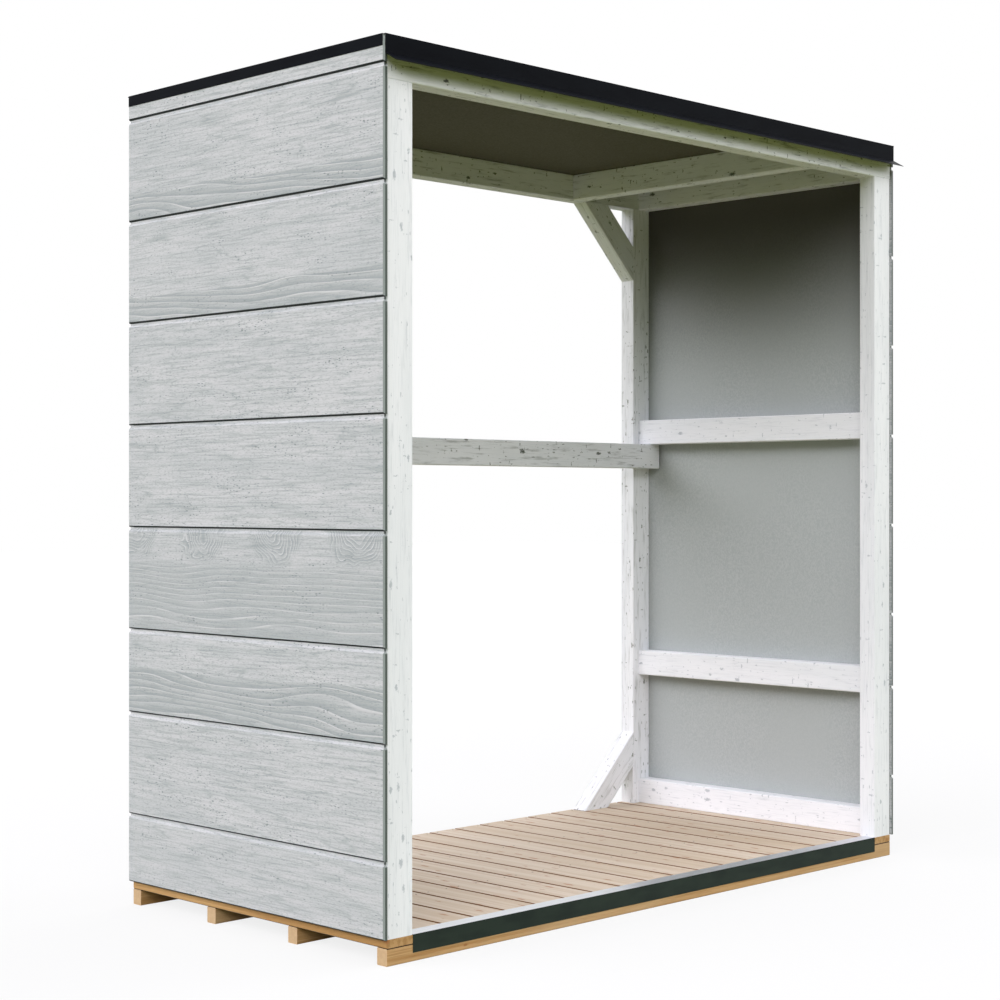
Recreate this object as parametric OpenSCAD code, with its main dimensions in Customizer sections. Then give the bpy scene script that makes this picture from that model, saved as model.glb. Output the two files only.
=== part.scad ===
// Open-fronted log store: a slatted deck on runners, a post-and-beam frame with
// a braced rear, two clad side walls and a flat roof that drips at the front.
// X runs along the front, the open front faces -Y, Z is up. Millimetres.

/* [Base] */
// Length of the base along the front
base_w = 1900; // [1400:10:2600]
// Depth of the base from front to back
base_d = 944; // [700:2:1300]
// Width of one runner under the deck
runner_w = 32; // [25:1:60]
// Height of one runner
runner_h = 38; // [25:1:60]
// Chamfer along the long edges of the runners
runner_arris = 1.5; // [0.5:0.5:5]

/* [Deck] */
// Width of one deck board
deck_board_w = 95; // [70:1:150]
// Thickness of the deck boards
deck_t = 20; // [15:1:35]
// Least gap between two deck boards
deck_gap = 4; // [3:0.5:10]
// Chamfer along the long edges of the deck boards
deck_arris = 2; // [0.5:0.5:5]
// Width of each leg of the metal angle on the deck's front edge
edge_leg = 40; // [25:1:50]
// Sheet thickness of that angle
edge_t = 1; // [0.8:0.1:3]

/* [Frame] */
// Wide side of the frame timber
timber_w = 75; // [60:1:100]
// Narrow side of the frame timber
timber_t = 50; // [38:1:70]
// Chamfer along the long edges of the frame timber
timber_arris = 2; // [0.5:0.5:6]
// Clear height between the deck and the beams
clear_h = 1851; // [1600:1:2200]
// Height of the lower side rails above the deck
lower_rail_z = 400; // [200:1:700]
// Height of the upper side rails above the deck
upper_rail_z = 1118; // [900:1:1400]
// Gap between each end of the rear rail and the wall sheet beside it
rear_rail_gap = 10; // [2:1:30]
// Leg of a corner brace, along the post and along the beam
brace_leg = 222; // [160:1:400]
// Distance from the right end of the base to the roof joist
joist_inset = 300; // [150:1:700]

/* [Walls] */
// Thickness of the smooth sheet behind the cladding
sheet_t = 3; // [2:0.5:8]
// Set-back of the sheet's edges from the faces of the posts
sheet_setback = 4; // [1:0.5:15]
// Thickness of the cladding boards
board_t = 10; // [8:0.5:25]
// Reach of the cladding past the posts, at the front and at the back
board_reach = 4.5; // [1:0.5:12]
// Height of the starter course at the foot of the wall
starter_h = 168.5; // [80:0.5:300]
// Height of the one course that is ripped narrower
ripped_h = 206; // [120:1:300]
// Height of a full course
course_h = 251.8; // [150:0.1:350]
// Open joint between two courses
joint_gap = 0.8; // [0.5:0.1:4]
// Depth of the groove at each joint
groove_d = 4.5; // [1:0.5:7]
// Height of the chamfer at a board's foot, the upper side of the groove
drip_h = 3.6; // [1:0.2:10]
// Height of the set-back nose at a board's head, the bottom of the groove
nose_h = 5.2; // [1:0.2:15]
// Height of the bevel below the nose, the lower side of the groove
bevel_h = 5; // [1:0.5:20]
// Chamfer down both ends of a board
end_chamfer = 3.5; // [1:0.5:7]

/* [Roof] */
// Thickness of the roof panel
roof_t = 17; // [12:1:40]
// Overhang of the roof panel past the ends of the cladding
roof_reach = 1; // [0.5:0.5:12]
// Thickness of the roof covering
covering_t = 1.5; // [1:0.5:5]
// Sheet thickness of the flashings
flashing_t = 1; // [0.8:0.1:2]
// Height of the upright face of the front eaves flashing
eaves_face_h = 42; // [25:1:80]
// Set-back of both eaves flashings' ends from the cladding's outer face
eaves_setback = 3; // [1:0.5:20]
// Width of the front eaves flashing's leg on the roof
eaves_leg = 60; // [30:1:120]
// Reach of the drip lip out from the eaves face
lip_out = 33; // [10:1:60]
// Fall of the drip lip over that reach
lip_drop = 19; // [2:1:40]
// Height of the upright face of the verge and rear flashings
verge_face_h = 26; // [15:1:55]
// Width of the verge and rear flashings' legs on the roof
verge_leg = 40; // [20:1:100]

/* [Hidden] */

// Sides of the object, for placing pieces and mirroring them
LEFT = -1;
RIGHT = 1;
FRONT = -1;
REAR = 1;

// Levels, from the ground up
deck_z = runner_h + deck_t;
beam_z = deck_z + clear_h;
ceiling_z = beam_z + timber_w;
roof_z = ceiling_z + roof_t;
covering_z = roof_z + covering_t;
top_z = covering_z + flashing_t;

// Half sizes of the base and of the frame's inside
half_w = base_w / 2;
half_d = base_d / 2;
between_posts_d = base_d - 2 * timber_t;
sheet_x = half_w + sheet_t;
board_x = sheet_x + board_t;
board_y = half_d + board_reach;
eaves_y = board_y + roof_reach;

// The drip lip reaches out at the front only, so the base lies behind the middle of the footprint
base_shift = lip_out / 2;

// Places of the four runners, as shares of the depth that they spread over
runner_shares = [0, 1/3, 2/3, 1];

// Deck boards: as many as fit, spread evenly from end to end
deck_count = floor((base_w + deck_gap) / (deck_board_w + deck_gap));
deck_pitch = (base_w - deck_board_w) / (deck_count - 1);

// Wall courses: joints from the foot of the wall up to its top
wall_h = roof_z - deck_z;
low_joints = [starter_h, starter_h + course_h, starter_h + course_h + ripped_h];
last_low = low_joints[len(low_joints) - 1];
joints = concat(
    low_joints,
    [for (z = last_low + course_h; z < wall_h - drip_h; z = z + course_h) z]
);
course_feet = concat([0], joints);
course_heads = concat([for (z = joints) z - joint_gap], [wall_h + nose_h + bevel_h]);

pine = "burlywood";
whitewash = "whitesmoke";
grey_paint = "lightgray";
black_sheet = "darkslategray";

// A profile in the Y-Z plane, drawn out along X about the middle
module along_x(length) {
    rotate([90, 0, 90])
        linear_extrude(length, center = true)
            children();
}

// A profile in the X-Z plane, drawn out along Y about the middle
module along_y(length) {
    rotate([90, 0, 0])
        linear_extrude(length, center = true)
            children();
}

// Section of a planed timber from its corner, with its four long edges eased
module eased_section(width, height, arris) {
    polygon([
        [arris, 0],
        [width - arris, 0],
        [width, arris],
        [width, height - arris],
        [width - arris, height],
        [arris, height],
        [0, height - arris],
        [0, arris]
    ]);
}

// A part drawn for the right-hand side, or its mirror image on the left
module on_side(side) {
    if (side == LEFT)
        mirror([1, 0, 0]) children();
    else
        children();
}

// A part drawn about the middle of the base, moved to its place behind the origin
module in_place() {
    translate([0, base_shift, 0])
        children();
}

// A part drawn for the front, or its mirror image at the back
module on_end(end) {
    if (end == REAR)
        mirror([0, 1, 0]) children();
    else
        children();
}

// One runner under the deck, from end to end of the base
module runner(share) {
    color(pine)
        translate([0, share * (base_d - runner_w) - half_d, 0])
            along_x(base_w)
                eased_section(runner_w, runner_h, runner_arris);
}

// Boards laid front to back across the runners
module deck_boards() {
    color(pine)
        for (i = [0 : deck_count - 1])
            translate([i * deck_pitch - half_w, 0, runner_h])
                along_y(base_d)
                    eased_section(deck_board_w, deck_t, deck_arris);
}

// Metal angle that caps the front edge of the deck between the posts
module deck_edge_trim() {
    color("darkseagreen")
        along_x(base_w - 2 * timber_w)
            polygon([
                [-half_d - edge_t, deck_z + edge_t],
                [-half_d - edge_t, deck_z + edge_t - edge_leg],
                [-half_d, deck_z + edge_t - edge_leg],
                [-half_d, deck_z],
                [edge_leg - half_d - edge_t, deck_z],
                [edge_leg - half_d - edge_t, deck_z + edge_t]
            ]);
}

// Corner post standing on the deck, flush with the base's two sides
module post(side, end) {
    color(whitewash)
        on_side(side)
            on_end(end)
                translate([half_w - timber_w, -half_d, deck_z])
                    linear_extrude(clear_h)
                        eased_section(timber_w, timber_t, timber_arris);
}

// Beam on edge across two posts
module beam(end) {
    color(whitewash)
        on_end(end)
            translate([0, -half_d, beam_z])
                along_x(base_w)
                    eased_section(timber_t, timber_w, timber_arris);
}

// Rail between the front and the rear post of one side, flush outside
module side_rail(side, z) {
    color(whitewash)
        on_side(side)
            translate([half_w - timber_t, 0, z])
                along_y(between_posts_d)
                    eased_section(timber_t, timber_w, timber_arris);
}

// Joist between the two beams, nearer the right-hand wall
module roof_joist() {
    color(whitewash)
        translate([half_w - joist_inset - timber_t, 0, beam_z])
            along_y(between_posts_d)
                eased_section(timber_t, timber_w, timber_arris);
}

// Rail across the inner faces of the rear posts, under the upper side rails
module rear_rail() {
    color(whitewash)
        translate([0, half_d - 2 * timber_t, deck_z + upper_rail_z - timber_w])
            along_x(base_w - 2 * rear_rail_gap)
                eased_section(timber_t, timber_w, timber_arris);
}

// Brace at 45 degrees, cut at both ends to seat on a rear post and on what it meets
module brace_in_corner() {
    corner = brace_leg + timber_w;
    stock_l = brace_leg * sqrt(2) + 2 * timber_w;
    mirror([1, 0, 0])
        translate([0, half_d - timber_t, 0])
            intersection() {
                cube([corner, timber_t, corner]);
                translate([brace_leg, 0, 0])
                    rotate([0, -45, 0])
                        translate([-timber_w, 0, -timber_w])
                            linear_extrude(stock_l)
                                eased_section(timber_w, timber_t, timber_arris);
            }
}

module lower_brace(side) {
    color(whitewash)
        on_side(side)
            translate([half_w - timber_w, 0, deck_z])
                brace_in_corner();
}

module upper_brace(side) {
    color(whitewash)
        on_side(side)
            translate([half_w - timber_w, 0, beam_z])
                mirror([0, 0, 1])
                    brace_in_corner();
}

// Smooth sheet on the outer faces of the posts and rails
module wall_sheet(side) {
    color("darkgray")
        on_side(side)
            translate([half_w, sheet_setback - half_d, deck_z])
                cube([sheet_t, base_d - 2 * sheet_setback, wall_h]);
}

// Section of one board: drip chamfer at its foot, bevel and nose at its head
module board_section(foot, head) {
    polygon([
        [sheet_x, foot],
        [board_x - groove_d, foot],
        [board_x, foot + drip_h],
        [board_x, head - nose_h - bevel_h],
        [board_x - groove_d, head - nose_h],
        [board_x - groove_d, head],
        [sheet_x, head]
    ]);
}

// Plan of one board, with both ends chamfered on the outer face
module board_plan() {
    polygon([
        [sheet_x, -board_y],
        [board_x - end_chamfer, -board_y],
        [board_x, end_chamfer - board_y],
        [board_x, board_y - end_chamfer],
        [board_x - end_chamfer, board_y],
        [sheet_x, board_y]
    ]);
}

// Side view of one board: the bevel and the nose at its head turn the corner at both ends
module board_elevation(foot, head) {
    nose_y = board_y - groove_d;
    polygon([
        [-board_y, foot],
        [board_y, foot],
        [board_y, head - nose_h - bevel_h],
        [nose_y, head - nose_h],
        [nose_y, head],
        [-nose_y, head],
        [-nose_y, head - nose_h],
        [-board_y, head - nose_h - bevel_h]
    ]);
}

// Courses of boards from the deck to the roof, parted by grooves; the top one is ripped to fit
module cladding(side) {
    color(grey_paint)
        on_side(side)
            translate([0, 0, deck_z])
                for (i = [0 : len(course_feet) - 1])
                    intersection() {
                        along_y(2 * board_y)
                            board_section(course_feet[i], course_heads[i]);
                        along_x(2 * board_x)
                            board_elevation(course_feet[i], course_heads[i]);
                        translate([0, 0, course_feet[i]])
                            linear_extrude(min(course_heads[i], wall_h) - course_feet[i])
                                board_plan();
                    }
}

// Flat panel on the beams and rails, between the two walls
module roof_panel() {
    color("dimgray")
        translate([-half_w, -eaves_y, ceiling_z])
            cube([base_w, 2 * eaves_y, roof_t]);
}

// Weatherproof sheet over the panel and the heads of the walls
module roof_covering() {
    color("dimgray")
        translate([-board_x, -eaves_y, roof_z])
            cube([2 * board_x, 2 * eaves_y, covering_t]);
}

// Drip edge of folded sheet at the front: leg on the roof, upright face and kicked-out lip
module front_eaves_flashing() {
    face_y = -eaves_y - flashing_t;
    face_z = top_z - eaves_face_h;
    lip_edge_y = face_y - lip_out;
    lip_edge_z = face_z - lip_drop;
    lip_t = flashing_t * norm([lip_out, lip_drop]) / lip_out;
    color(black_sheet)
        along_x(2 * (board_x - eaves_setback))
            polygon([
                [face_y, top_z],
                [face_y, face_z],
                [lip_edge_y, lip_edge_z],
                [lip_edge_y, lip_edge_z - lip_t],
                [-eaves_y, face_z - lip_t + flashing_t * lip_drop / lip_out],
                [-eaves_y, covering_z],
                [face_y + eaves_leg, covering_z],
                [face_y + eaves_leg, top_z]
            ]);
}

// Plain folded band over the rear edge of the roof
module rear_eaves_flashing() {
    face_y = eaves_y + flashing_t;
    color(black_sheet)
        along_x(2 * (board_x - eaves_setback))
            polygon([
                [face_y, top_z],
                [face_y - verge_leg, top_z],
                [face_y - verge_leg, covering_z],
                [eaves_y, covering_z],
                [eaves_y, top_z - verge_face_h],
                [face_y, top_z - verge_face_h]
            ]);
}

// Plain band over the head of a side wall, with its leg between the eaves legs
module verge_flashing(side) {
    face_l = 2 * (board_y - end_chamfer);
    leg_front_y = eaves_leg - eaves_y - flashing_t;
    leg_rear_y = eaves_y + flashing_t - verge_leg;
    color(black_sheet)
        on_side(side) {
            translate([board_x, -face_l / 2, top_z - verge_face_h])
                cube([flashing_t, face_l, verge_face_h]);
            translate([board_x - verge_leg, leg_front_y, covering_z])
                cube([verge_leg + flashing_t, leg_rear_y - leg_front_y, flashing_t]);
        }
}

in_place() runner(runner_shares[0]);  // front_runner
in_place() runner(runner_shares[1]);  // front_middle_runner
in_place() runner(runner_shares[2]);  // rear_middle_runner
in_place() runner(runner_shares[3]);  // rear_runner
in_place() deck_boards();
in_place() deck_edge_trim();
in_place() post(LEFT, FRONT);  // front_left_post
in_place() post(RIGHT, FRONT);  // front_right_post
in_place() post(LEFT, REAR);  // rear_left_post
in_place() post(RIGHT, REAR);  // rear_right_post
in_place() beam(FRONT);  // front_header_beam
in_place() beam(REAR);  // rear_beam
in_place() side_rail(LEFT, beam_z);  // left_top_rail
in_place() side_rail(RIGHT, beam_z);  // right_top_rail
in_place() roof_joist();
in_place() side_rail(LEFT, deck_z);  // left_bottom_rail
in_place() side_rail(LEFT, deck_z + lower_rail_z);  // left_lower_rail
in_place() side_rail(LEFT, deck_z + upper_rail_z);  // left_upper_rail
in_place() side_rail(RIGHT, deck_z);  // right_bottom_rail
in_place() side_rail(RIGHT, deck_z + lower_rail_z);  // right_lower_rail
in_place() side_rail(RIGHT, deck_z + upper_rail_z);  // right_upper_rail
in_place() rear_rail();
in_place() upper_brace(LEFT);  // rear_upper_left_brace
in_place() upper_brace(RIGHT);  // rear_upper_right_brace
in_place() lower_brace(LEFT);  // rear_lower_left_brace
in_place() lower_brace(RIGHT);  // rear_lower_right_brace
in_place() wall_sheet(LEFT);  // left_wall_sheet
in_place() wall_sheet(RIGHT);  // right_wall_sheet
in_place() cladding(LEFT);  // left_cladding
in_place() cladding(RIGHT);  // right_cladding
in_place() roof_panel();
in_place() roof_covering();
in_place() front_eaves_flashing();
in_place() rear_eaves_flashing();
in_place() verge_flashing(LEFT);  // left_verge_flashing
in_place() verge_flashing(RIGHT);  // right_verge_flashing
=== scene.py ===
"""Dresses the log store in its finishes and sets it on a pale floor. Lengths are in metres."""
import math

import bpy
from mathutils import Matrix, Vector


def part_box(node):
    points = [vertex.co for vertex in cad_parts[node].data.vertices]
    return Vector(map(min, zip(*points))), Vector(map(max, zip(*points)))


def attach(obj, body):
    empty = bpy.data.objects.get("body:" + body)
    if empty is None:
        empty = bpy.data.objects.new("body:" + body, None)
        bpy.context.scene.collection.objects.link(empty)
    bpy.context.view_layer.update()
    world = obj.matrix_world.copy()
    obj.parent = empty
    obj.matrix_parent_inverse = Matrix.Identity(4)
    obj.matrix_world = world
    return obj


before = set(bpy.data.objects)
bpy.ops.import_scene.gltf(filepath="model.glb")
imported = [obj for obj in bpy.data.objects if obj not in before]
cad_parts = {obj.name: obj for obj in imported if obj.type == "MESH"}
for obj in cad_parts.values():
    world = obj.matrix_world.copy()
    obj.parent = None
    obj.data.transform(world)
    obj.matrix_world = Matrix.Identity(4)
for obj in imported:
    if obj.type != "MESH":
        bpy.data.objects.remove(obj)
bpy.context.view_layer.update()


# Runners: four lengths of sawn softwood under the deck, which keep it off the ground.
# Bare honey-coloured pine with fine straight grain and a few small brown knots; their tops, in the
# shade under the deck, are painted dark brown as painted shade.
# The deck boards are nailed down into them, so no fixing shows from the side.
RUNNERS = ("front_runner", "front_middle_runner", "rear_middle_runner", "rear_runner")
ALONG_LENGTH = (0, 0, 0)
KNOT_SHARE = 0.7
SPOT_WOBBLE_WAVES = 180
SMALLEST_SPOT_SHARE = 0.001


def paint(red, green, blue):
    """A colour off a paint card, 0 to 255, as the linear values that a shader takes."""
    return (*(((c / 255 + 0.055) / 1.055) ** 2.4 for c in (red, green, blue)), 1)


def lay(tree, kind, inputs, **settings):
    """Adds a node to a tree. Each input is a value or the output that feeds it."""
    made = tree.nodes.new(kind)
    for key, value in settings.items():
        setattr(made, key, value)
    for key, value in inputs.items():
        if isinstance(value, bpy.types.NodeSocket):
            tree.links.new(value, made.inputs[key])
        else:
            made.inputs[key].default_value = value
    return made


def add(tree, kind, inputs, **settings):
    """Adds a shader node."""
    return lay(tree, "ShaderNode" + kind, inputs, **settings)


def calc(tree, operation, *values):
    """Arithmetic on numbers."""
    return add(tree, "Math", dict(enumerate(values)), operation=operation).outputs[0]


def reckon(tree, operation, *vectors):
    """Arithmetic on vectors."""
    return add(tree, "VectorMath", dict(enumerate(vectors)), operation=operation).outputs[0]


def split(tree, vector):
    """The X, Y and Z of a vector."""
    return add(tree, "SeparateXYZ", {0: vector}).outputs


def between(tree, value, low, high, start=0.0, end=1.0):
    """Goes smoothly from start to end while value goes from low to high."""
    limits = {"Value": value, "From Min": low, "From Max": high, "To Min": start, "To Max": end}
    return add(tree, "MapRange", limits, interpolation_type="SMOOTHSTEP").outputs["Result"]


def blend(tree, share, first, second):
    """The first colour with that share of the second in it."""
    return add(tree, "Mix", {0: share, 6: first, 7: second}, data_type="RGBA").outputs[2]


def cloud(tree, place, waves, detail=2.0, roughness=0.5):
    """Soft noise from 0 to 1, with waves giving how many go into a metre each way."""
    spot = reckon(tree, "MULTIPLY", place, waves)
    inputs = {"Vector": spot, "Scale": 1.0, "Detail": detail, "Roughness": roughness}
    return add(tree, "TexNoise", inputs).outputs["Fac"]


def marks(tree, place, spacing, reach, rarity, ragged):
    """Scattered spots, 1 at heart. Spacing is metres each way, reach the largest spot's share of it.

    A higher rarity leaves fewer large spots, and ragged is how far their outlines stray.
    """
    shaken = reckon(tree, "MULTIPLY", place, [SPOT_WOBBLE_WAVES] * 3)
    noise = add(tree, "TexNoise", {"Vector": shaken, "Scale": 1.0, "Detail": 1.0}).outputs["Color"]
    wobble = reckon(tree, "SUBTRACT", noise, (0.5, 0.5, 0.5))
    spaced = reckon(tree, "MULTIPLY", place, [1 / length for length in spacing])
    moved = reckon(tree, "MULTIPLY_ADD", wobble, [ragged] * 3, spaced)
    cells = add(tree, "TexVoronoi", {"Vector": moved, "Scale": 1.0})
    luck = add(tree, "SeparateColor", {0: cells.outputs["Color"]}).outputs[0]
    radius = calc(tree, "MULTIPLY_ADD", calc(tree, "POWER", luck, rarity), reach, SMALLEST_SPOT_SHARE)
    inside = calc(tree, "SUBTRACT", 1.0, calc(tree, "DIVIDE", cells.outputs["Distance"], radius))
    return between(tree, inside, 0.0, 0.5)


def new_finish(name, roughness, specular):
    """A material with its shader, ready for colour and relief."""
    finish = bpy.data.materials.new(name)
    finish.use_nodes = True
    shader = finish.node_tree.nodes["Principled BSDF"]
    shader.inputs["Roughness"].default_value = roughness
    shader.inputs["Specular IOR Level"].default_value = specular
    return finish, finish.node_tree, shader


def object_space(tree):
    """Where a point lies on the store."""
    return add(tree, "TexCoord", {}).outputs["Object"]


def grain_space(tree, turn):
    """Where a point lies, turned so that the wood's grain runs along X."""
    return add(tree, "Mapping", {"Vector": object_space(tree), "Rotation": turn}).outputs["Vector"]


def facing(tree, axis):
    """How squarely a face looks along an axis, from -1 to 1."""
    return split(tree, add(tree, "NewGeometry", {}).outputs["True Normal"])[axis]


def coat(tree, shader, colour, height, depth):
    """Puts the colour and the relief on the shader."""
    made = add(tree, "Bump", {"Height": height, "Distance": depth, "Strength": 1.0})
    tree.links.new(made.outputs["Normal"], shader.inputs["Normal"])
    tree.links.new(colour, shader.inputs["Base Color"])


def wear(names, finish):
    """Gives CAD nodes their finish."""
    for name in names:
        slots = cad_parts[name].data.materials
        slots.clear()
        slots.append(finish)


def make_sawn_pine():
    finish, tree, shader = new_finish("sawn_pine", roughness=0.75, specular=0.2)
    grain = grain_space(tree, ALONG_LENGTH)
    fibre = cloud(tree, grain, (9, 420, 420), detail=3.0, roughness=0.65)
    rings = cloud(tree, grain, (1.6, 130, 130))
    colour = blend(tree, between(tree, rings, 0.38, 0.62), paint(192, 154, 106), paint(172, 131, 82))
    colour = blend(tree, between(tree, fibre, 0.45, 0.75, end=0.5), colour, paint(142, 102, 58))
    pale = between(tree, cloud(tree, grain, (2.2, 12, 12)), 0.42, 0.68, end=0.6)
    colour = blend(tree, pale, colour, paint(198, 168, 128))
    knots = marks(tree, grain, (0.10, 0.04, 0.04), reach=0.16, rarity=2.0, ragged=0.1)
    colour = blend(tree, calc(tree, "MULTIPLY", knots, KNOT_SHARE), colour, paint(146, 92, 50))
    sawn_end = between(tree, calc(tree, "ABSOLUTE", facing(tree, "X")), 0.6, 0.9, end=0.7)
    colour = blend(tree, sawn_end, colour, paint(192, 166, 134))
    # Painted shade: the tops, under the deck, go dark brown.
    shaded_top = between(tree, facing(tree, "Z"), 0.4, 0.6)
    colour = blend(tree, shaded_top, colour, paint(64, 46, 30))
    coat(tree, shader, colour, fibre, depth=0.0005)
    return finish


wear(RUNNERS, make_sawn_pine())


# Deck: planed pine boards laid front to back across the runners, with drainage gaps.
# Pale tan on top, honey on the sawn ends, each board of its own tone, with small brown knots.
# The board sides in the gaps and the board undersides are painted dark brown as painted shade.
BOARD_PITCH = 0.10028
BOARD_COUNT = 19
FRONT_TO_BACK = (0, 0, -math.pi / 2)
GRAIN_SLIDE_ALONG = 0.37
GRAIN_SLIDE_DEEP = 0.11
OUTER_SIDE_DEPTH = 0.003
SHADED_FOOT_HEIGHT = 0.0012


def board_number(tree):
    """Which board a point is on, counted along X from the middle one."""
    return calc(tree, "ROUND", calc(tree, "DIVIDE", split(tree, object_space(tree))["X"], BOARD_PITCH))


def make_deck_pine():
    finish, tree, shader = new_finish("planed_deck_pine", roughness=0.6, specular=0.3)
    number = board_number(tree)
    along = calc(tree, "MULTIPLY", number, GRAIN_SLIDE_ALONG)
    deep = calc(tree, "MULTIPLY", number, GRAIN_SLIDE_DEEP)
    shift = add(tree, "CombineXYZ", {"X": along, "Z": deep}).outputs[0]
    grain = reckon(tree, "ADD", grain_space(tree, FRONT_TO_BACK), shift)
    fibre = cloud(tree, grain, (10, 420, 420), detail=3.0, roughness=0.65)
    rings = cloud(tree, grain, (1.4, 70, 70))
    tone = add(tree, "TexWhiteNoise", {"W": number}, noise_dimensions="1D").outputs["Value"]
    planed = blend(tree, between(tree, tone, 0.0, 1.0), paint(214, 199, 181), paint(205, 188, 167))
    planed = blend(tree, between(tree, rings, 0.42, 0.62, end=0.45), planed, paint(188, 163, 131))
    planed = blend(tree, between(tree, fibre, 0.5, 0.8, end=0.35), planed, paint(162, 136, 110))
    sawn = blend(tree, between(tree, rings, 0.4, 0.62), paint(184, 146, 97), paint(160, 121, 72))
    colour = blend(tree, between(tree, facing(tree, "Z"), 0.75, 0.95), sawn, planed)
    knots = marks(tree, grain, (0.07, 0.022, 0.022), reach=0.33, rarity=1.2, ragged=0.2)
    colour = blend(tree, calc(tree, "MULTIPLY", knots, KNOT_SHARE), colour, paint(164, 106, 64))
    # Painted shade: the board sides in the gaps go dark brown, all but the outer sides.
    side = between(tree, calc(tree, "ABSOLUTE", facing(tree, "X")), 0.4, 0.6)
    place = split(tree, object_space(tree))
    low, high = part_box("deck_boards")
    inner = calc(tree, "LESS_THAN", calc(tree, "ABSOLUTE", place["X"]), high[0] - OUTER_SIDE_DEPTH)
    colour = blend(tree, calc(tree, "MULTIPLY", side, inner), colour, paint(112, 68, 24))
    # Painted shade: the undersides of the boards go dark brown.
    foot = calc(tree, "LESS_THAN", place["Z"], low[2] + SHADED_FOOT_HEIGHT)
    colour = blend(tree, foot, colour, paint(64, 46, 30))
    coat(tree, shader, colour, fibre, depth=0.0003)
    return finish


wear(["deck_boards"], make_deck_pine())


# Deck nails: two round wire nails hold each board on each runner, punched flush and gone dull.
# The front runner's nails lie under the edge trim, and the braces stand over the outer rear ones.
BOARDS_UNDER_BRACES = 6
NAIL_ROWS = (
    ("front_middle_runner", BOARD_COUNT),
    ("rear_middle_runner", BOARD_COUNT),
    ("rear_runner", BOARD_COUNT - BOARDS_UNDER_BRACES),
)
NAIL_SPREAD = 0.06
NAIL_RADIUS = 0.002
NAIL_RIM = 0.0024
NAIL_HEIGHT = 0.0006
HEAD_SIDES = 12
CROWN_SHARE = 0.7
WASHER_SHARE = 0.3


def make_dull_steel():
    finish, tree, shader = new_finish("dull_steel", roughness=0.55, specular=0.5)
    shader.inputs["Metallic"].default_value = 0.8
    rust = cloud(tree, object_space(tree), (300, 300, 300))
    colour = blend(tree, between(tree, rust, 0.4, 0.65), paint(150, 140, 128), paint(118, 92, 70))
    coat(tree, shader, colour, rust, depth=0.0001)
    return finish


def shape_tree(name, sizes):
    """A Geometry Nodes tree that takes the named sizes, with its input and output nodes."""
    tree = bpy.data.node_groups.new(name, "GeometryNodeTree")
    tree.interface.new_socket("Geometry", in_out="INPUT", socket_type="NodeSocketGeometry")
    for size, kind in sizes.items():
        tree.interface.new_socket(size, in_out="INPUT", socket_type="NodeSocket" + kind)
    tree.interface.new_socket("Geometry", in_out="OUTPUT", socket_type="NodeSocketGeometry")
    return tree, tree.nodes.new("NodeGroupInput").outputs, tree.nodes.new("NodeGroupOutput")


def make_row_tree():
    """Round fixing heads in a row, singly or in twins, each a low cone on a washer."""
    sizes = {
        "Count": "Int", "Step": "Vector", "Twins": "Int", "Twin Step": "Vector", "Start": "Vector",
        "Radius": "Float", "Height": "Float", "Rim": "Float", "Finish": "Material",
    }
    tree, given, result = shape_tree("fixing_row", sizes)
    cone = lay(tree, "GeometryNodeMeshCone", {
        "Vertices": HEAD_SIDES,
        "Radius Bottom": given["Radius"],
        "Radius Top": calc(tree, "MULTIPLY", given["Radius"], CROWN_SHARE),
        "Depth": given["Height"],
    })
    washer = lay(tree, "GeometryNodeMeshCone", {
        "Vertices": HEAD_SIDES,
        "Radius Bottom": given["Rim"],
        "Radius Top": given["Rim"],
        "Depth": calc(tree, "MULTIPLY", given["Height"], WASHER_SHARE),
    })
    fixing = lay(tree, "GeometryNodeJoinGeometry", {})
    for piece in (cone, washer):
        tree.links.new(piece.outputs["Mesh"], fixing.inputs[0])
    pair = {"Count": given["Twins"], "Offset": given["Twin Step"]}
    pair_points = lay(tree, "GeometryNodeMeshLine", pair).outputs[0]
    twin = {"Points": pair_points, "Instance": fixing.outputs[0]}
    twins = lay(tree, "GeometryNodeInstanceOnPoints", twin).outputs[0]
    line = {"Count": given["Count"], "Start Location": given["Start"], "Offset": given["Step"]}
    points = lay(tree, "GeometryNodeMeshLine", line).outputs[0]
    rows = lay(tree, "GeometryNodeInstanceOnPoints", {"Points": points, "Instance": twins}).outputs[0]
    real = lay(tree, "GeometryNodeRealizeInstances", {"Geometry": rows}).outputs[0]
    done = lay(tree, "GeometryNodeSetMaterial", {"Geometry": real, "Material": given["Finish"]}).outputs[0]
    tree.links.new(done, result.inputs[0])
    return tree


def grow(name, tree, sizes):
    """Runs a Geometry Nodes tree with these sizes and keeps the result as a plain mesh on the body."""
    seed = bpy.data.objects.new(name + "_seed", bpy.data.meshes.new(name + "_seed"))
    bpy.context.scene.collection.objects.link(seed)
    grower = seed.modifiers.new("grow", "NODES")
    grower.node_group = tree
    for socket in tree.interface.items_tree:
        if socket.in_out == "INPUT" and socket.name in sizes:
            grower[socket.identifier] = sizes[socket.name]
    seed.update_tag()
    grown = seed.evaluated_get(bpy.context.evaluated_depsgraph_get())
    piece = bpy.data.objects.new(name, bpy.data.meshes.new_from_object(grown))
    seed.modifiers.remove(grower)
    bpy.data.objects.remove(seed)
    bpy.context.scene.collection.objects.link(piece)
    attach(piece, "root")
    return piece


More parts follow.
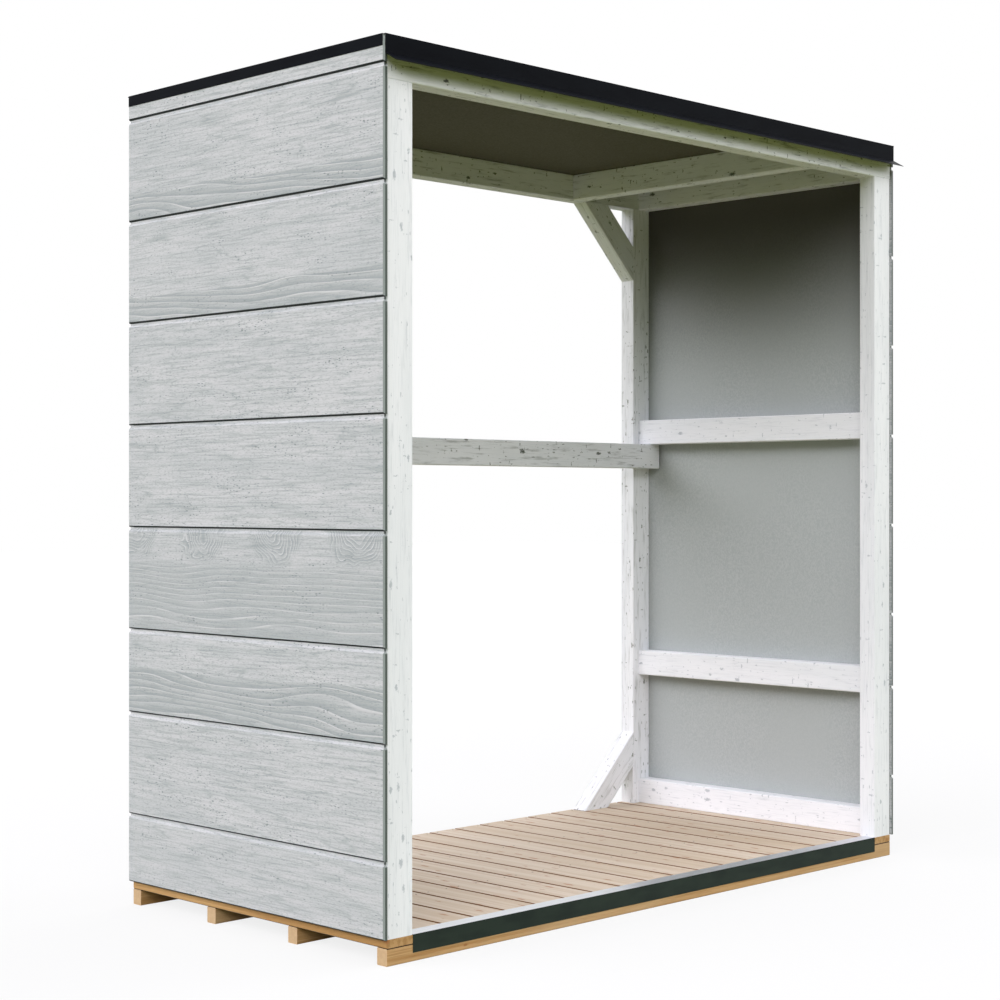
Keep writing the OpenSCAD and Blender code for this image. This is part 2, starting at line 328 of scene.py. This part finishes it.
fixing_row = make_row_tree()
dull_steel = make_dull_steel()
deck_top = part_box("deck_boards")[1][2]
for runner, boards in NAIL_ROWS:
    low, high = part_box(runner)
    grow(runner + "_nails", fixing_row, {
        "Count": boards,
        "Step": (BOARD_PITCH, 0, 0),
        "Twins": 2,
        "Twin Step": (NAIL_SPREAD, 0, 0),
        "Start": (-BOARD_PITCH * (boards - 1) / 2 - NAIL_SPREAD / 2, (low[1] + high[1]) / 2, deck_top),
        "Radius": NAIL_RADIUS,
        "Height": NAIL_HEIGHT,
        "Rim": NAIL_RIM,
        "Finish": dull_steel,
    })


# Deck edge trim: a folded metal angle over the front edge of the deck, between the posts.
# Its upright face keeps a green-black coat; the up-facing top leg is given a light metal colour as painted
# sheen.
def make_sheened_angle():
    finish, tree, shader = new_finish("green_black_angle_painted_sheen", roughness=0.4, specular=0.08)
    place = object_space(tree)
    # Painted sheen: the up-facing leg turns light, metallic and smoother.
    sheened_leg = between(tree, facing(tree, "Z"), 0.6, 0.9)
    brushed = cloud(tree, place, (14, 900, 900), detail=3.0)
    patches = cloud(tree, place, (9, 9, 30), detail=3.0)
    dark = blend(tree, between(tree, patches, 0.35, 0.7), paint(40, 50, 43), paint(33, 42, 37))
    bare = blend(tree, between(tree, brushed, 0.35, 0.65), paint(222, 225, 230), paint(204, 208, 214))
    tree.links.new(sheened_leg, shader.inputs["Metallic"])
    tree.links.new(between(tree, sheened_leg, 0.0, 1.0, start=0.5, end=0.3), shader.inputs["Roughness"])
    coat(tree, shader, blend(tree, sheened_leg, dark, bare), brushed, depth=0.00004)
    return finish


wear(["deck_edge_trim"], make_sheened_angle())


# Frame: planed softwood posts, beams and rails, butted together and screwed from outside.
# Whitewashed so thinly that the grain, small grey knots and dark flecks still show through.
# The flecks are pale on the front posts and wall rails, which stand in light, and darker and greener on the
# header, the roof timbers and the pieces across the back, which stand in shade: painted light and shade.
SIDES = ("left_", "right_")
FRONT_POSTS = ["front_" + side + "post" for side in SIDES]
REAR_POSTS = ["rear_" + side + "post" for side in SIDES]
REAR_CROSSPIECES = ["rear_beam", "rear_rail"]
WALL_RAILS = [side + rail for side in SIDES for rail in ("bottom_rail", "lower_rail", "upper_rail")]
ROOF_TIMBERS = ["left_top_rail", "right_top_rail", "roof_joist"]
# Painted light and shade: pale flecks for the lit pieces, darker and greener ones for the pieces in shade.
LIT_WASH = {"fleck_colour": (180, 185, 192), "bare_from": 0.52, "bareness": 0.35, "thinness_and_shade": 0.0}
HALF_SHADED_WASH = {"fleck_colour": (108, 114, 104), "bare_from": 0.5, "bareness": 0.34, "thinness_and_shade": 0.0}
SHADED_WASH = {"fleck_colour": (46, 48, 40), "bare_from": 0.52, "bareness": 0.5, "thinness_and_shade": 0.0}
DEEP_SHADED_WASH = {"fleck_colour": (44, 52, 34), "bare_from": 0.51, "bareness": 0.52, "thinness_and_shade": 0.11}
STREAK_SOFTNESS = 0.22
UPRIGHT = (0, math.pi / 2, 0)


def make_whitewash(name, turn, fleck_colour, bare_from, bareness, thinness_and_shade):
    """Thin white wash on pine, with the grain along X once turned.

    The wood shows through, in the fleck colour, by the share bareness in its streaks and by a share all over
    beside them; on pieces that stand in shade that colour is darker and greener, as painted shade.
    """
    finish, tree, shader = new_finish(name, roughness=0.62, specular=0.2)
    grain = grain_space(tree, turn)
    fibre = cloud(tree, grain, (9, 340, 340), detail=3.0, roughness=0.62)
    streaks = cloud(tree, grain, (11, 120, 120), detail=4.0, roughness=0.65)
    tone = cloud(tree, grain, (1.6, 14, 14))
    fleck = paint(*fleck_colour)
    colour = blend(tree, between(tree, tone, 0.35, 0.7), paint(239, 240, 244), paint(232, 234, 238))
    colour = blend(tree, between(tree, fibre, 0.5, 0.78, end=0.5), colour, paint(206, 210, 216))
    bare = between(tree, streaks, bare_from, bare_from + STREAK_SOFTNESS, start=thinness_and_shade, end=bareness)
    colour = blend(tree, bare, colour, fleck)
    knots = marks(tree, grain, (0.055, 0.026, 0.026), reach=0.27, rarity=2.2, ragged=0.25)
    flecks = marks(tree, grain, (0.022, 0.007, 0.007), reach=0.32, rarity=2.2, ragged=0.6)
    checks = marks(tree, grain, (0.011, 0.035, 0.035), reach=0.3, rarity=3.6, ragged=0.6)
    for share, found in ((0.85, knots), (0.7, flecks), (0.7, checks)):
        colour = blend(tree, calc(tree, "MULTIPLY", found, share), colour, fleck)
    coat(tree, shader, colour, fibre, depth=0.0003)
    return finish


wear(FRONT_POSTS, make_whitewash("whitewash_upright", UPRIGHT, **LIT_WASH))
wear(REAR_POSTS, make_whitewash("half_shaded_whitewash_upright", UPRIGHT, **HALF_SHADED_WASH))
wear(WALL_RAILS, make_whitewash("whitewash_front_to_back", FRONT_TO_BACK, **LIT_WASH))
wear(["front_header_beam"], make_whitewash("shaded_whitewash_lengthwise", ALONG_LENGTH, **SHADED_WASH))
wear(ROOF_TIMBERS, make_whitewash("shaded_whitewash_front_to_back", FRONT_TO_BACK, **SHADED_WASH))
wear(REAR_CROSSPIECES, make_whitewash("deep_shaded_whitewash_lengthwise", ALONG_LENGTH, **DEEP_SHADED_WASH))


# Braces: short struts of the same whitewashed timber, mitred into the corners of the rear frame.
# Their grain runs along the strut, at 45 degrees.
RISING = (0, math.pi / 4, 0)
RISING_BRACES = ["rear_lower_right_brace", "rear_upper_left_brace"]
FALLING = (0, -math.pi / 4, 0)
FALLING_BRACES = ["rear_lower_left_brace", "rear_upper_right_brace"]
# Painted shade: like the rear posts, they take the darker flecks of timber standing in half shade.
wear(RISING_BRACES, make_whitewash("half_shaded_whitewash_rising", RISING, **HALF_SHADED_WASH))
wear(FALLING_BRACES, make_whitewash("half_shaded_whitewash_falling", FALLING, **HALF_SHADED_WASH))


# Wall sheets: smooth grey fibre board, nailed to the outside of each side frame.
# They close the wall behind the cladding and show their pressed fibres faintly from inside.
# Towards the roof they darken to a dark brown, which is painted shade.
FIBRE_BEND_WAVES = 24.0
FIBRE_BEND = 0.03
SHADE_FOOT = 1.33
SHADE_TOP = 1.88
SHADE_SHARE = 0.92


def make_fibre_board():
    finish, tree, shader = new_finish("grey_fibre_board", roughness=0.6, specular=0.2)
    place = object_space(tree)
    bending = {"Vector": place, "Scale": FIBRE_BEND_WAVES, "Detail": 1.0}
    bend = add(tree, "TexNoise", bending).outputs["Color"]
    swept = reckon(tree, "MULTIPLY_ADD", bend, [FIBRE_BEND] * 3, place)
    fibres = cloud(tree, swept, (210, 210, 160), detail=4.0, roughness=0.7)
    mottle = cloud(tree, place, (4, 4, 4), detail=3.0)
    pressed = blend(tree, between(tree, fibres, 0.4, 0.6), paint(161, 167, 168), paint(182, 186, 186))
    shown = between(tree, mottle, 0.36, 0.62, start=0.2, end=0.6)
    colour = blend(tree, shown, paint(172, 177, 177), pressed)
    # Painted shade: the board darkens to dark brown towards the roof.
    roof_shade = between(tree, split(tree, place)["Z"], SHADE_FOOT, SHADE_TOP, end=SHADE_SHARE)
    colour = blend(tree, roof_shade, colour, paint(58, 53, 45))
    coat(tree, shader, colour, fibres, depth=0.0002)
    return finish


wear(["left_wall_sheet", "right_wall_sheet"], make_fibre_board())


# Cladding: wide horizontal boards on each side wall, one above the other in a grooved joint.
# Light grey factory finish, embossed with a wood grain of streaks, ridges, loops and dark flecks.
# The ridge crests carry a painted highlight and the dips beside them painted shade; the undersides of
# the boards' lips and the sawn end faces are painted near black as painted shade, the end chamfers darker
# grey.
STARTER_COURSE = 0.1685
RIPPED_COURSE = 0.206
FULL_COURSE = 0.2518
FULL_COURSES_ABOVE = 5
COURSE_SLIDE = 0.43
COURSE_TURN = 0.31
RIDGED_BAND_HEIGHTS = {2: 0.113, 6: 0.064, 7: 0.06}
BAND_SWING = 0.03
BAND_EDGE = (0.013, 0.018)
RIDGE_SLOPE = -0.05
RIDGES_A_METRE = 55.0
RIDGE_SWING = 5.0
LOOPED_COURSES = {3: 1.0}
LENS_TOP = (0.15, 0.18)
LENSES_A_METRE = 30.0
LENS_CLOSING = 190.0
LENS_SWING = 4.0
LOOP_FOOT = (0.165, 0.185)
LOOP_REACH = (0.085, 0.11)
LOOP_SHIFT = 4.0
LOOP_PITCH = 0.28
LOOP_PLACE = 0.16
LOOP_HEART_HEIGHT = 0.262
LOOP_BEND = 0.1
RINGS_A_METRE = 105.0


def course_joints(foot):
    """Heights of the joints between the courses, from the foot of the wall up."""
    steps = [STARTER_COURSE, FULL_COURSE, RIPPED_COURSE] + [FULL_COURSE] * FULL_COURSES_ABOVE
    return [foot + sum(steps[:i + 1]) for i in range(len(steps))]


def course_space(tree, foot):
    """The course's number from the ground up, and a point's height above that course's foot."""
    height = split(tree, object_space(tree))["Z"]
    number, base = 0.0, foot
    below = foot
    for joint in course_joints(foot):
        past = calc(tree, "GREATER_THAN", height, joint)
        number = calc(tree, "ADD", number, past)
        base = calc(tree, "MULTIPLY_ADD", past, joint - below, base)
        below = joint
    return number, calc(tree, "SUBTRACT", height, base)


def among(tree, number, courses):
    """The value given for the course that a point is on, and 0 on the others."""
    total = 0.0
    for course, value in courses.items():
        total = calc(tree, "MULTIPLY_ADD", calc(tree, "COMPARE", number, float(course), 0.1), value, total)
    return total


def flowing_ridges(tree, number, along, rise, swing):
    """Ridges that flow along the foot of a course: where they lie, and a count of them on the way up."""
    band = among(tree, number, RIDGED_BAND_HEIGHTS)
    edge = calc(tree, "MULTIPLY_ADD", swing, BAND_SWING, calc(tree, "SUBTRACT", rise, band))
    banded = calc(tree, "GREATER_THAN", band, 0.0)
    zone = calc(tree, "MULTIPLY", banded, between(tree, edge, *BAND_EDGE, start=1.0, end=0.0))
    sloped = calc(tree, "MULTIPLY_ADD", along, RIDGE_SLOPE, rise)
    even = calc(tree, "MULTIPLY", sloped, RIDGES_A_METRE)
    return zone, calc(tree, "MULTIPLY_ADD", swing, RIDGE_SWING, even)


def flat_lenses(tree, looped, rise, swing):
    """Long flat ridges under the loops, closer higher up: where they lie, and a count of them."""
    zone = calc(tree, "MULTIPLY", looped, between(tree, rise, *LENS_TOP, start=1.0, end=0.0))
    closer = calc(tree, "MULTIPLY", calc(tree, "MULTIPLY_ADD", rise, LENS_CLOSING, LENSES_A_METRE), rise)
    return zone, calc(tree, "MULTIPLY_ADD", swing, LENS_SWING, closer)


def ring_loops(tree, looped, grain, slid, rise):
    """Bent rings round hearts at the head of a course: where they lie, and a count of them outwards."""
    bent = calc(tree, "MULTIPLY_ADD", cloud(tree, grain, (12, 1, 14), detail=1.0), LOOP_BEND, -LOOP_BEND / 2)
    repeated = calc(tree, "MODULO", calc(tree, "ADD", slid, LOOP_SHIFT), LOOP_PITCH)
    across = calc(tree, "SUBTRACT", repeated, LOOP_PLACE)
    above = calc(tree, "SUBTRACT", LOOP_HEART_HEIGHT, rise)
    squares = calc(tree, "MULTIPLY_ADD", across, across, calc(tree, "MULTIPLY", above, above))
    far = calc(tree, "SQRT", squares)
    zone = calc(tree, "MULTIPLY", looped, between(tree, rise, *LOOP_FOOT))
    zone = calc(tree, "MULTIPLY", zone, between(tree, far, *LOOP_REACH, start=1.0, end=0.0))
    dabs = between(tree, cloud(tree, grain, (20, 1, 36)), 0.34, 0.54, start=0.3)
    zone = calc(tree, "MULTIPLY", zone, dabs)
    return zone, calc(tree, "MULTIPLY", calc(tree, "ADD", far, bent), RINGS_A_METRE)


def make_embossed_grey(foot):
    finish, tree, shader = new_finish("embossed_grey_board", roughness=0.62, specular=0.2)
    number, rise = course_space(tree, foot)
    along = split(tree, grain_space(tree, FRONT_TO_BACK))["X"]
    slid = calc(tree, "MULTIPLY_ADD", number, COURSE_SLIDE, along)
    turned = calc(tree, "MULTIPLY", number, COURSE_TURN)
    grain = add(tree, "CombineXYZ", {"X": slid, "Y": turned, "Z": rise}).outputs[0]
    bands = cloud(tree, grain, (2.5, 1, 30), detail=3.0, roughness=0.6)
    streaks = cloud(tree, grain, (9, 1, 240), detail=4.0, roughness=0.68)
    pores = cloud(tree, grain, (110, 1, 520), roughness=0.6)
    contour = calc(tree, "ABSOLUTE", calc(tree, "SUBTRACT", cloud(tree, grain, (1.5, 1, 24)), 0.5))
    light, dull, shade = paint(189, 190, 192), paint(169, 173, 175), paint(140, 147, 148)
    colour = blend(tree, between(tree, bands, 0.35, 0.65, end=0.5), light, dull)
    colour = blend(tree, between(tree, streaks, 0.42, 0.72, end=0.7), colour, shade)
    colour = blend(tree, between(tree, pores, 0.5, 0.72, end=0.6), colour, paint(128, 136, 137))
    colour = blend(tree, between(tree, contour, 0.0, 0.012, start=0.45, end=0.0), colour, shade)

    swing = cloud(tree, grain, (2.2, 1, 9), detail=1.0)
    looped = among(tree, number, LOOPED_COURSES)
    relief = (
        (*flowing_ridges(tree, number, along, rise, swing), 0.75),
        (*flat_lenses(tree, looped, rise, swing), 0.55),
        (*ring_loops(tree, looped, grain, slid, rise), 0.8),
    )
    dip_shade, crest_and_highlight = 0.0, 0.0
    for zone, lines, depth in relief:
        step = calc(tree, "FRACT", lines)
        dip_shade = calc(tree, "MULTIPLY_ADD", zone, between(tree, step, 0.0, 0.8, start=depth, end=0.25), dip_shade)
        crest_and_highlight = calc(tree, "MULTIPLY_ADD", zone, between(tree, step, 0.78, 0.93), crest_and_highlight)
    faded = between(tree, cloud(tree, grain, (8, 1, 45)), 0.38, 0.6, start=0.25)
    crest_and_highlight = calc(tree, "MULTIPLY", crest_and_highlight, faded)
    # Painted highlight on the ridge crests, and painted shade in the dips beside them.
    colour = blend(tree, dip_shade, colour, shade)
    colour = blend(tree, calc(tree, "MULTIPLY", crest_and_highlight, 0.95), colour, paint(193, 194, 196))

    dashes = marks(tree, grain, (0.012, 0.02, 0.004), reach=0.45, rarity=1.2, ragged=0.4)
    gather = between(tree, cloud(tree, grain, (6, 1, 24), detail=3.0), 0.46, 0.64, start=0.1, end=0.9)
    colour = blend(tree, calc(tree, "MULTIPLY", dashes, gather), colour, paint(112, 120, 121))

    # Painted shade: the end faces go near black; the end chamfers a darker grey.
    endwise = calc(tree, "ABSOLUTE", facing(tree, "Y"))
    colour = blend(tree, between(tree, endwise, 0.4, 0.6), colour, paint(136, 143, 141))
    colour = blend(tree, between(tree, endwise, 0.8, 0.95), colour, paint(84, 92, 88))
    # Painted shade: the undersides of the board lips go near black.
    under = between(tree, facing(tree, "Z"), -0.6, -0.4, start=1.0, end=0.0)
    colour = blend(tree, under, colour, paint(34, 40, 38))
    height = calc(tree, "ADD", crest_and_highlight, calc(tree, "MULTIPLY", streaks, 0.8))
    coat(tree, shader, colour, height, depth=0.0005)
    return finish


wear(["left_cladding", "right_cladding"], make_embossed_grey(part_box("left_cladding")[0][2]))


# Roof panel: dark board on top of the beams, which is the ceiling seen from inside.
# Pressed wood chips under a thin brown-black stain.
def make_dark_board():
    finish, tree, shader = new_finish("dark_roof_board", roughness=0.75, specular=0.03)
    chips = cloud(tree, object_space(tree), (220, 220, 220), detail=3.0, roughness=0.7)
    colour = blend(tree, between(tree, chips, 0.35, 0.65), paint(82, 80, 67), paint(95, 92, 79))
    coat(tree, shader, colour, chips, depth=0.0002)
    return finish


wear(["roof_panel"], make_dark_board())


# Roof covering: one sheet of black bitumen felt with a fine mineral grit, glued over the panel.
# The roof legs of the flashings lap over its edges and hold them down.
def make_gritted_felt():
    finish, tree, shader = new_finish("gritted_felt", roughness=0.9, specular=0.15)
    place = object_space(tree)
    grit = cloud(tree, place, (900, 900, 900), detail=1.0)
    patches = cloud(tree, place, (4, 4, 4), detail=3.0)
    colour = blend(tree, between(tree, grit, 0.4, 0.7), paint(38, 40, 43), paint(72, 75, 79))
    colour = blend(tree, between(tree, patches, 0.4, 0.7, end=0.35), colour, paint(46, 48, 50))
    coat(tree, shader, colour, grit, depth=0.0006)
    return finish


wear(["roof_covering"], make_gritted_felt())


# Flashings: folded steel round the edge of the roof under a blue-black coat, lapped at the corners.
# The front one has a lip kicked out at its foot that throws the drips clear of the header.
FLASHINGS = [edge + "_flashing" for edge in ("front_eaves", "rear_eaves", "left_verge", "right_verge")]


def make_coated_steel():
    finish, tree, shader = new_finish("blue_black_steel", roughness=0.34, specular=0.03)
    place = object_space(tree)
    patches = cloud(tree, place, (9, 9, 30), detail=3.0)
    tree.links.new(between(tree, patches, 0.3, 0.7, start=0.32, end=0.42), shader.inputs["Roughness"])
    colour = blend(tree, between(tree, patches, 0.3, 0.75), paint(14, 17, 22), paint(10, 12, 17))
    coat(tree, shader, colour, cloud(tree, place, (700, 700, 700), detail=1.0), depth=0.00002)
    return finish


blue_black_steel = make_coated_steel()
wear(FLASHINGS, blue_black_steel)


# Flashing screws: low self-drilling screws with a washer, painted with the steel, along the roof legs.
# They hold the flashings down through the felt and show only from above.
SCREW_RADIUS = 0.0045
SCREW_RIM = 0.008
SCREW_HEIGHT = 0.003
SCREW_EDGE = 0.022
EAVES_SCREWS = 9
VERGE_SCREWS = 5
VERGE_SCREW_INSET = 0.11


def screw_down(name, count, start, end):
    """A row of screws, evenly spaced from start to end."""
    step = [(b - a) / (count - 1) for a, b in zip(start, end)]
    grow(name, fixing_row, {
        "Count": count,
        "Step": step,
        "Twins": 1,
        "Twin Step": (0, 0, 0),
        "Start": start,
        "Radius": SCREW_RADIUS,
        "Height": SCREW_HEIGHT,
        "Rim": SCREW_RIM,
        "Finish": blue_black_steel,
    })


for edge in ("front_eaves", "rear_eaves"):
    low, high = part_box(edge + "_flashing")
    leg_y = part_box("roof_covering")[0][1] + SCREW_EDGE if edge == "front_eaves" else high[1] - SCREW_EDGE
    first, last = ((x, leg_y, high[2]) for x in (low[0] + SCREW_EDGE, high[0] - SCREW_EDGE))
    screw_down(edge + "_screws", EAVES_SCREWS, first, last)
for edge, side in (("left_verge", -1), ("right_verge", 1)):
    low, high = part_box(edge + "_flashing")
    leg_x = side * (max(abs(low[0]), abs(high[0])) - SCREW_EDGE)
    first, last = ((leg_x, y, high[2]) for y in (low[1] + VERGE_SCREW_INSET, high[1] - VERGE_SCREW_INSET))
    screw_down(edge + "_screws", VERGE_SCREWS, first, last)


# Floor: a wide sheet, pale and plain to the eye, that takes a faint shadow of the store.
# The light that it gives back is dull green, as it would be from grass.
FLOOR_REACH = 30.0
FLOOR_GLOW = 0.83
FLOOR_GREY = (0.11, 0.11, 0.11, 1)
GRASS = (0.135, 0.155, 0.04, 1)
WHITE = (1, 1, 1, 1)


def seen_directly(tree):
    """1 for what the camera sees itself, in gloss or through glass, and 0 for scattered light."""
    path = add(tree, "LightPath", {}).outputs
    gloss = calc(tree, "MAXIMUM", path["Is Glossy Ray"], path["Is Transmission Ray"])
    return calc(tree, "MAXIMUM", path["Is Camera Ray"], gloss)


def make_floor():
    r = FLOOR_REACH
    mesh = bpy.data.meshes.new("floor")
    mesh.from_pydata([(-r, -r, 0), (r, -r, 0), (r, r, 0), (-r, r, 0)], [], [(0, 1, 2, 3)])
    floor = bpy.data.objects.new("floor", mesh)
    bpy.context.scene.collection.objects.link(floor)
    finish = bpy.data.materials.new("pale_floor")
    finish.use_nodes = True
    tree = finish.node_tree
    tree.nodes.clear()
    glow = add(tree, "Emission", {"Color": WHITE, "Strength": FLOOR_GLOW}).outputs[0]
    pale = add(tree, "BsdfDiffuse", {"Color": FLOOR_GREY}).outputs[0]
    shown = add(tree, "AddShader", {0: glow, 1: pale}).outputs[0]
    grass = add(tree, "BsdfDiffuse", {"Color": GRASS}).outputs[0]
    both = add(tree, "MixShader", {0: seen_directly(tree), 1: grass, 2: shown}).outputs[0]
    add(tree, "OutputMaterial", {"Surface": both})
    mesh.materials.append(finish)
    return floor


make_floor()


# Light: a long soft light down the left side and a weaker one on the right, both above the horizon,
# as overhead studio banks give, and a faint green one from the garden in front.
# The backdrop is plain white.
TO_LEFT = (-1, 0, 0)
LEFT_BANK = 7.5
LEFT_FOCUS = 1.15
LEFT_EDGE = (0.28, 0.33)
RIGHT_BANK_BEARING = math.radians(79)
TO_RIGHT = (math.sin(RIGHT_BANK_BEARING), -math.cos(RIGHT_BANK_BEARING), 0)
RIGHT_BANK = 4.0
RIGHT_FOCUS = 2.0
RIGHT_EDGE = (0.0, 0.35)
TO_FRONT = (0, -1, 0)
FRONT_BANK = 0.7
FRONT_FOCUS = 4.0
FRONT_EDGE = (0.0, 0.1)
BANK_COLOUR = (0.985, 0.965, 1.02, 1)
FRONT_COLOUR = (0.96, 1.04, 0.97, 1)
ALL_ROUND = 0.3
OVERHEAD = (0.5, 1.0)
OVERHEAD_SHARE = 0.05


def bank(tree, direction, middle, focus):
    """Light round a direction, 1 at its middle. A higher focus makes it narrower."""
    inputs = {0: direction, 1: middle}
    squarely = add(tree, "VectorMath", inputs, operation="DOT_PRODUCT").outputs["Value"]
    return calc(tree, "POWER", calc(tree, "MAXIMUM", squarely, 0.0), focus)


def make_sky():
    """Sets the light. A height in the sky goes from 0 at the horizon to 1 overhead."""
    sky = bpy.data.worlds.new("sky")
    bpy.context.scene.world = sky
    sky.use_nodes = True
    tree = sky.node_tree
    tree.nodes.clear()
    towards = add(tree, "TexCoord", {}).outputs["Generated"]
    level = reckon(tree, "NORMALIZE", reckon(tree, "MULTIPLY", towards, (1, 1, 0)))
    height = split(tree, towards)["Z"]
    left = calc(tree, "MULTIPLY", bank(tree, towards, TO_LEFT, LEFT_FOCUS), LEFT_BANK)
    left = calc(tree, "MULTIPLY", left, between(tree, height, *LEFT_EDGE))
    right = calc(tree, "MULTIPLY_ADD", bank(tree, level, TO_RIGHT, RIGHT_FOCUS), RIGHT_BANK, ALL_ROUND)
    right = calc(tree, "MULTIPLY", right, between(tree, height, *RIGHT_EDGE))
    front = calc(tree, "MULTIPLY", bank(tree, level, TO_FRONT, FRONT_FOCUS), FRONT_BANK)
    front = calc(tree, "MULTIPLY", front, between(tree, height, *FRONT_EDGE))
    overhead = between(tree, height, *OVERHEAD, start=1.0, end=OVERHEAD_SHARE)
    lights = []
    for colour, strength in ((BANK_COLOUR, calc(tree, "ADD", left, right)), (FRONT_COLOUR, front)):
        faded = calc(tree, "MULTIPLY", strength, overhead)
        lights.append(add(tree, "Background", {"Color": colour, "Strength": faded}).outputs[0])
    dome = add(tree, "AddShader", dict(enumerate(lights))).outputs[0]
    white = add(tree, "Background", {"Color": WHITE, "Strength": 1.0}).outputs[0]
    both = add(tree, "MixShader", {0: seen_directly(tree), 1: dome, 2: white}).outputs[0]
    add(tree, "OutputWorld", {"Surface": both})


make_sky()


# Camera: level, a metre up, looking at the front left corner at 45 degrees through a portrait lens.
# It stands about five metres from the middle of the store and keeps the posts upright.
LENS = 71.3
CAMERA_SPOT = (-3.785, -3.6335, 1.003)
CAMERA_TURN = (math.pi / 2, 0, -math.pi / 4)


def make_camera():
    lens = bpy.data.cameras.new("camera")
    lens.lens = LENS
    camera = bpy.data.objects.new("camera", lens)
    bpy.context.scene.collection.objects.link(camera)
    camera.location = CAMERA_SPOT
    camera.rotation_euler = CAMERA_TURN
    bpy.context.scene.camera = camera


make_camera()
bpy.context.scene.view_settings.view_transform = "Standard"
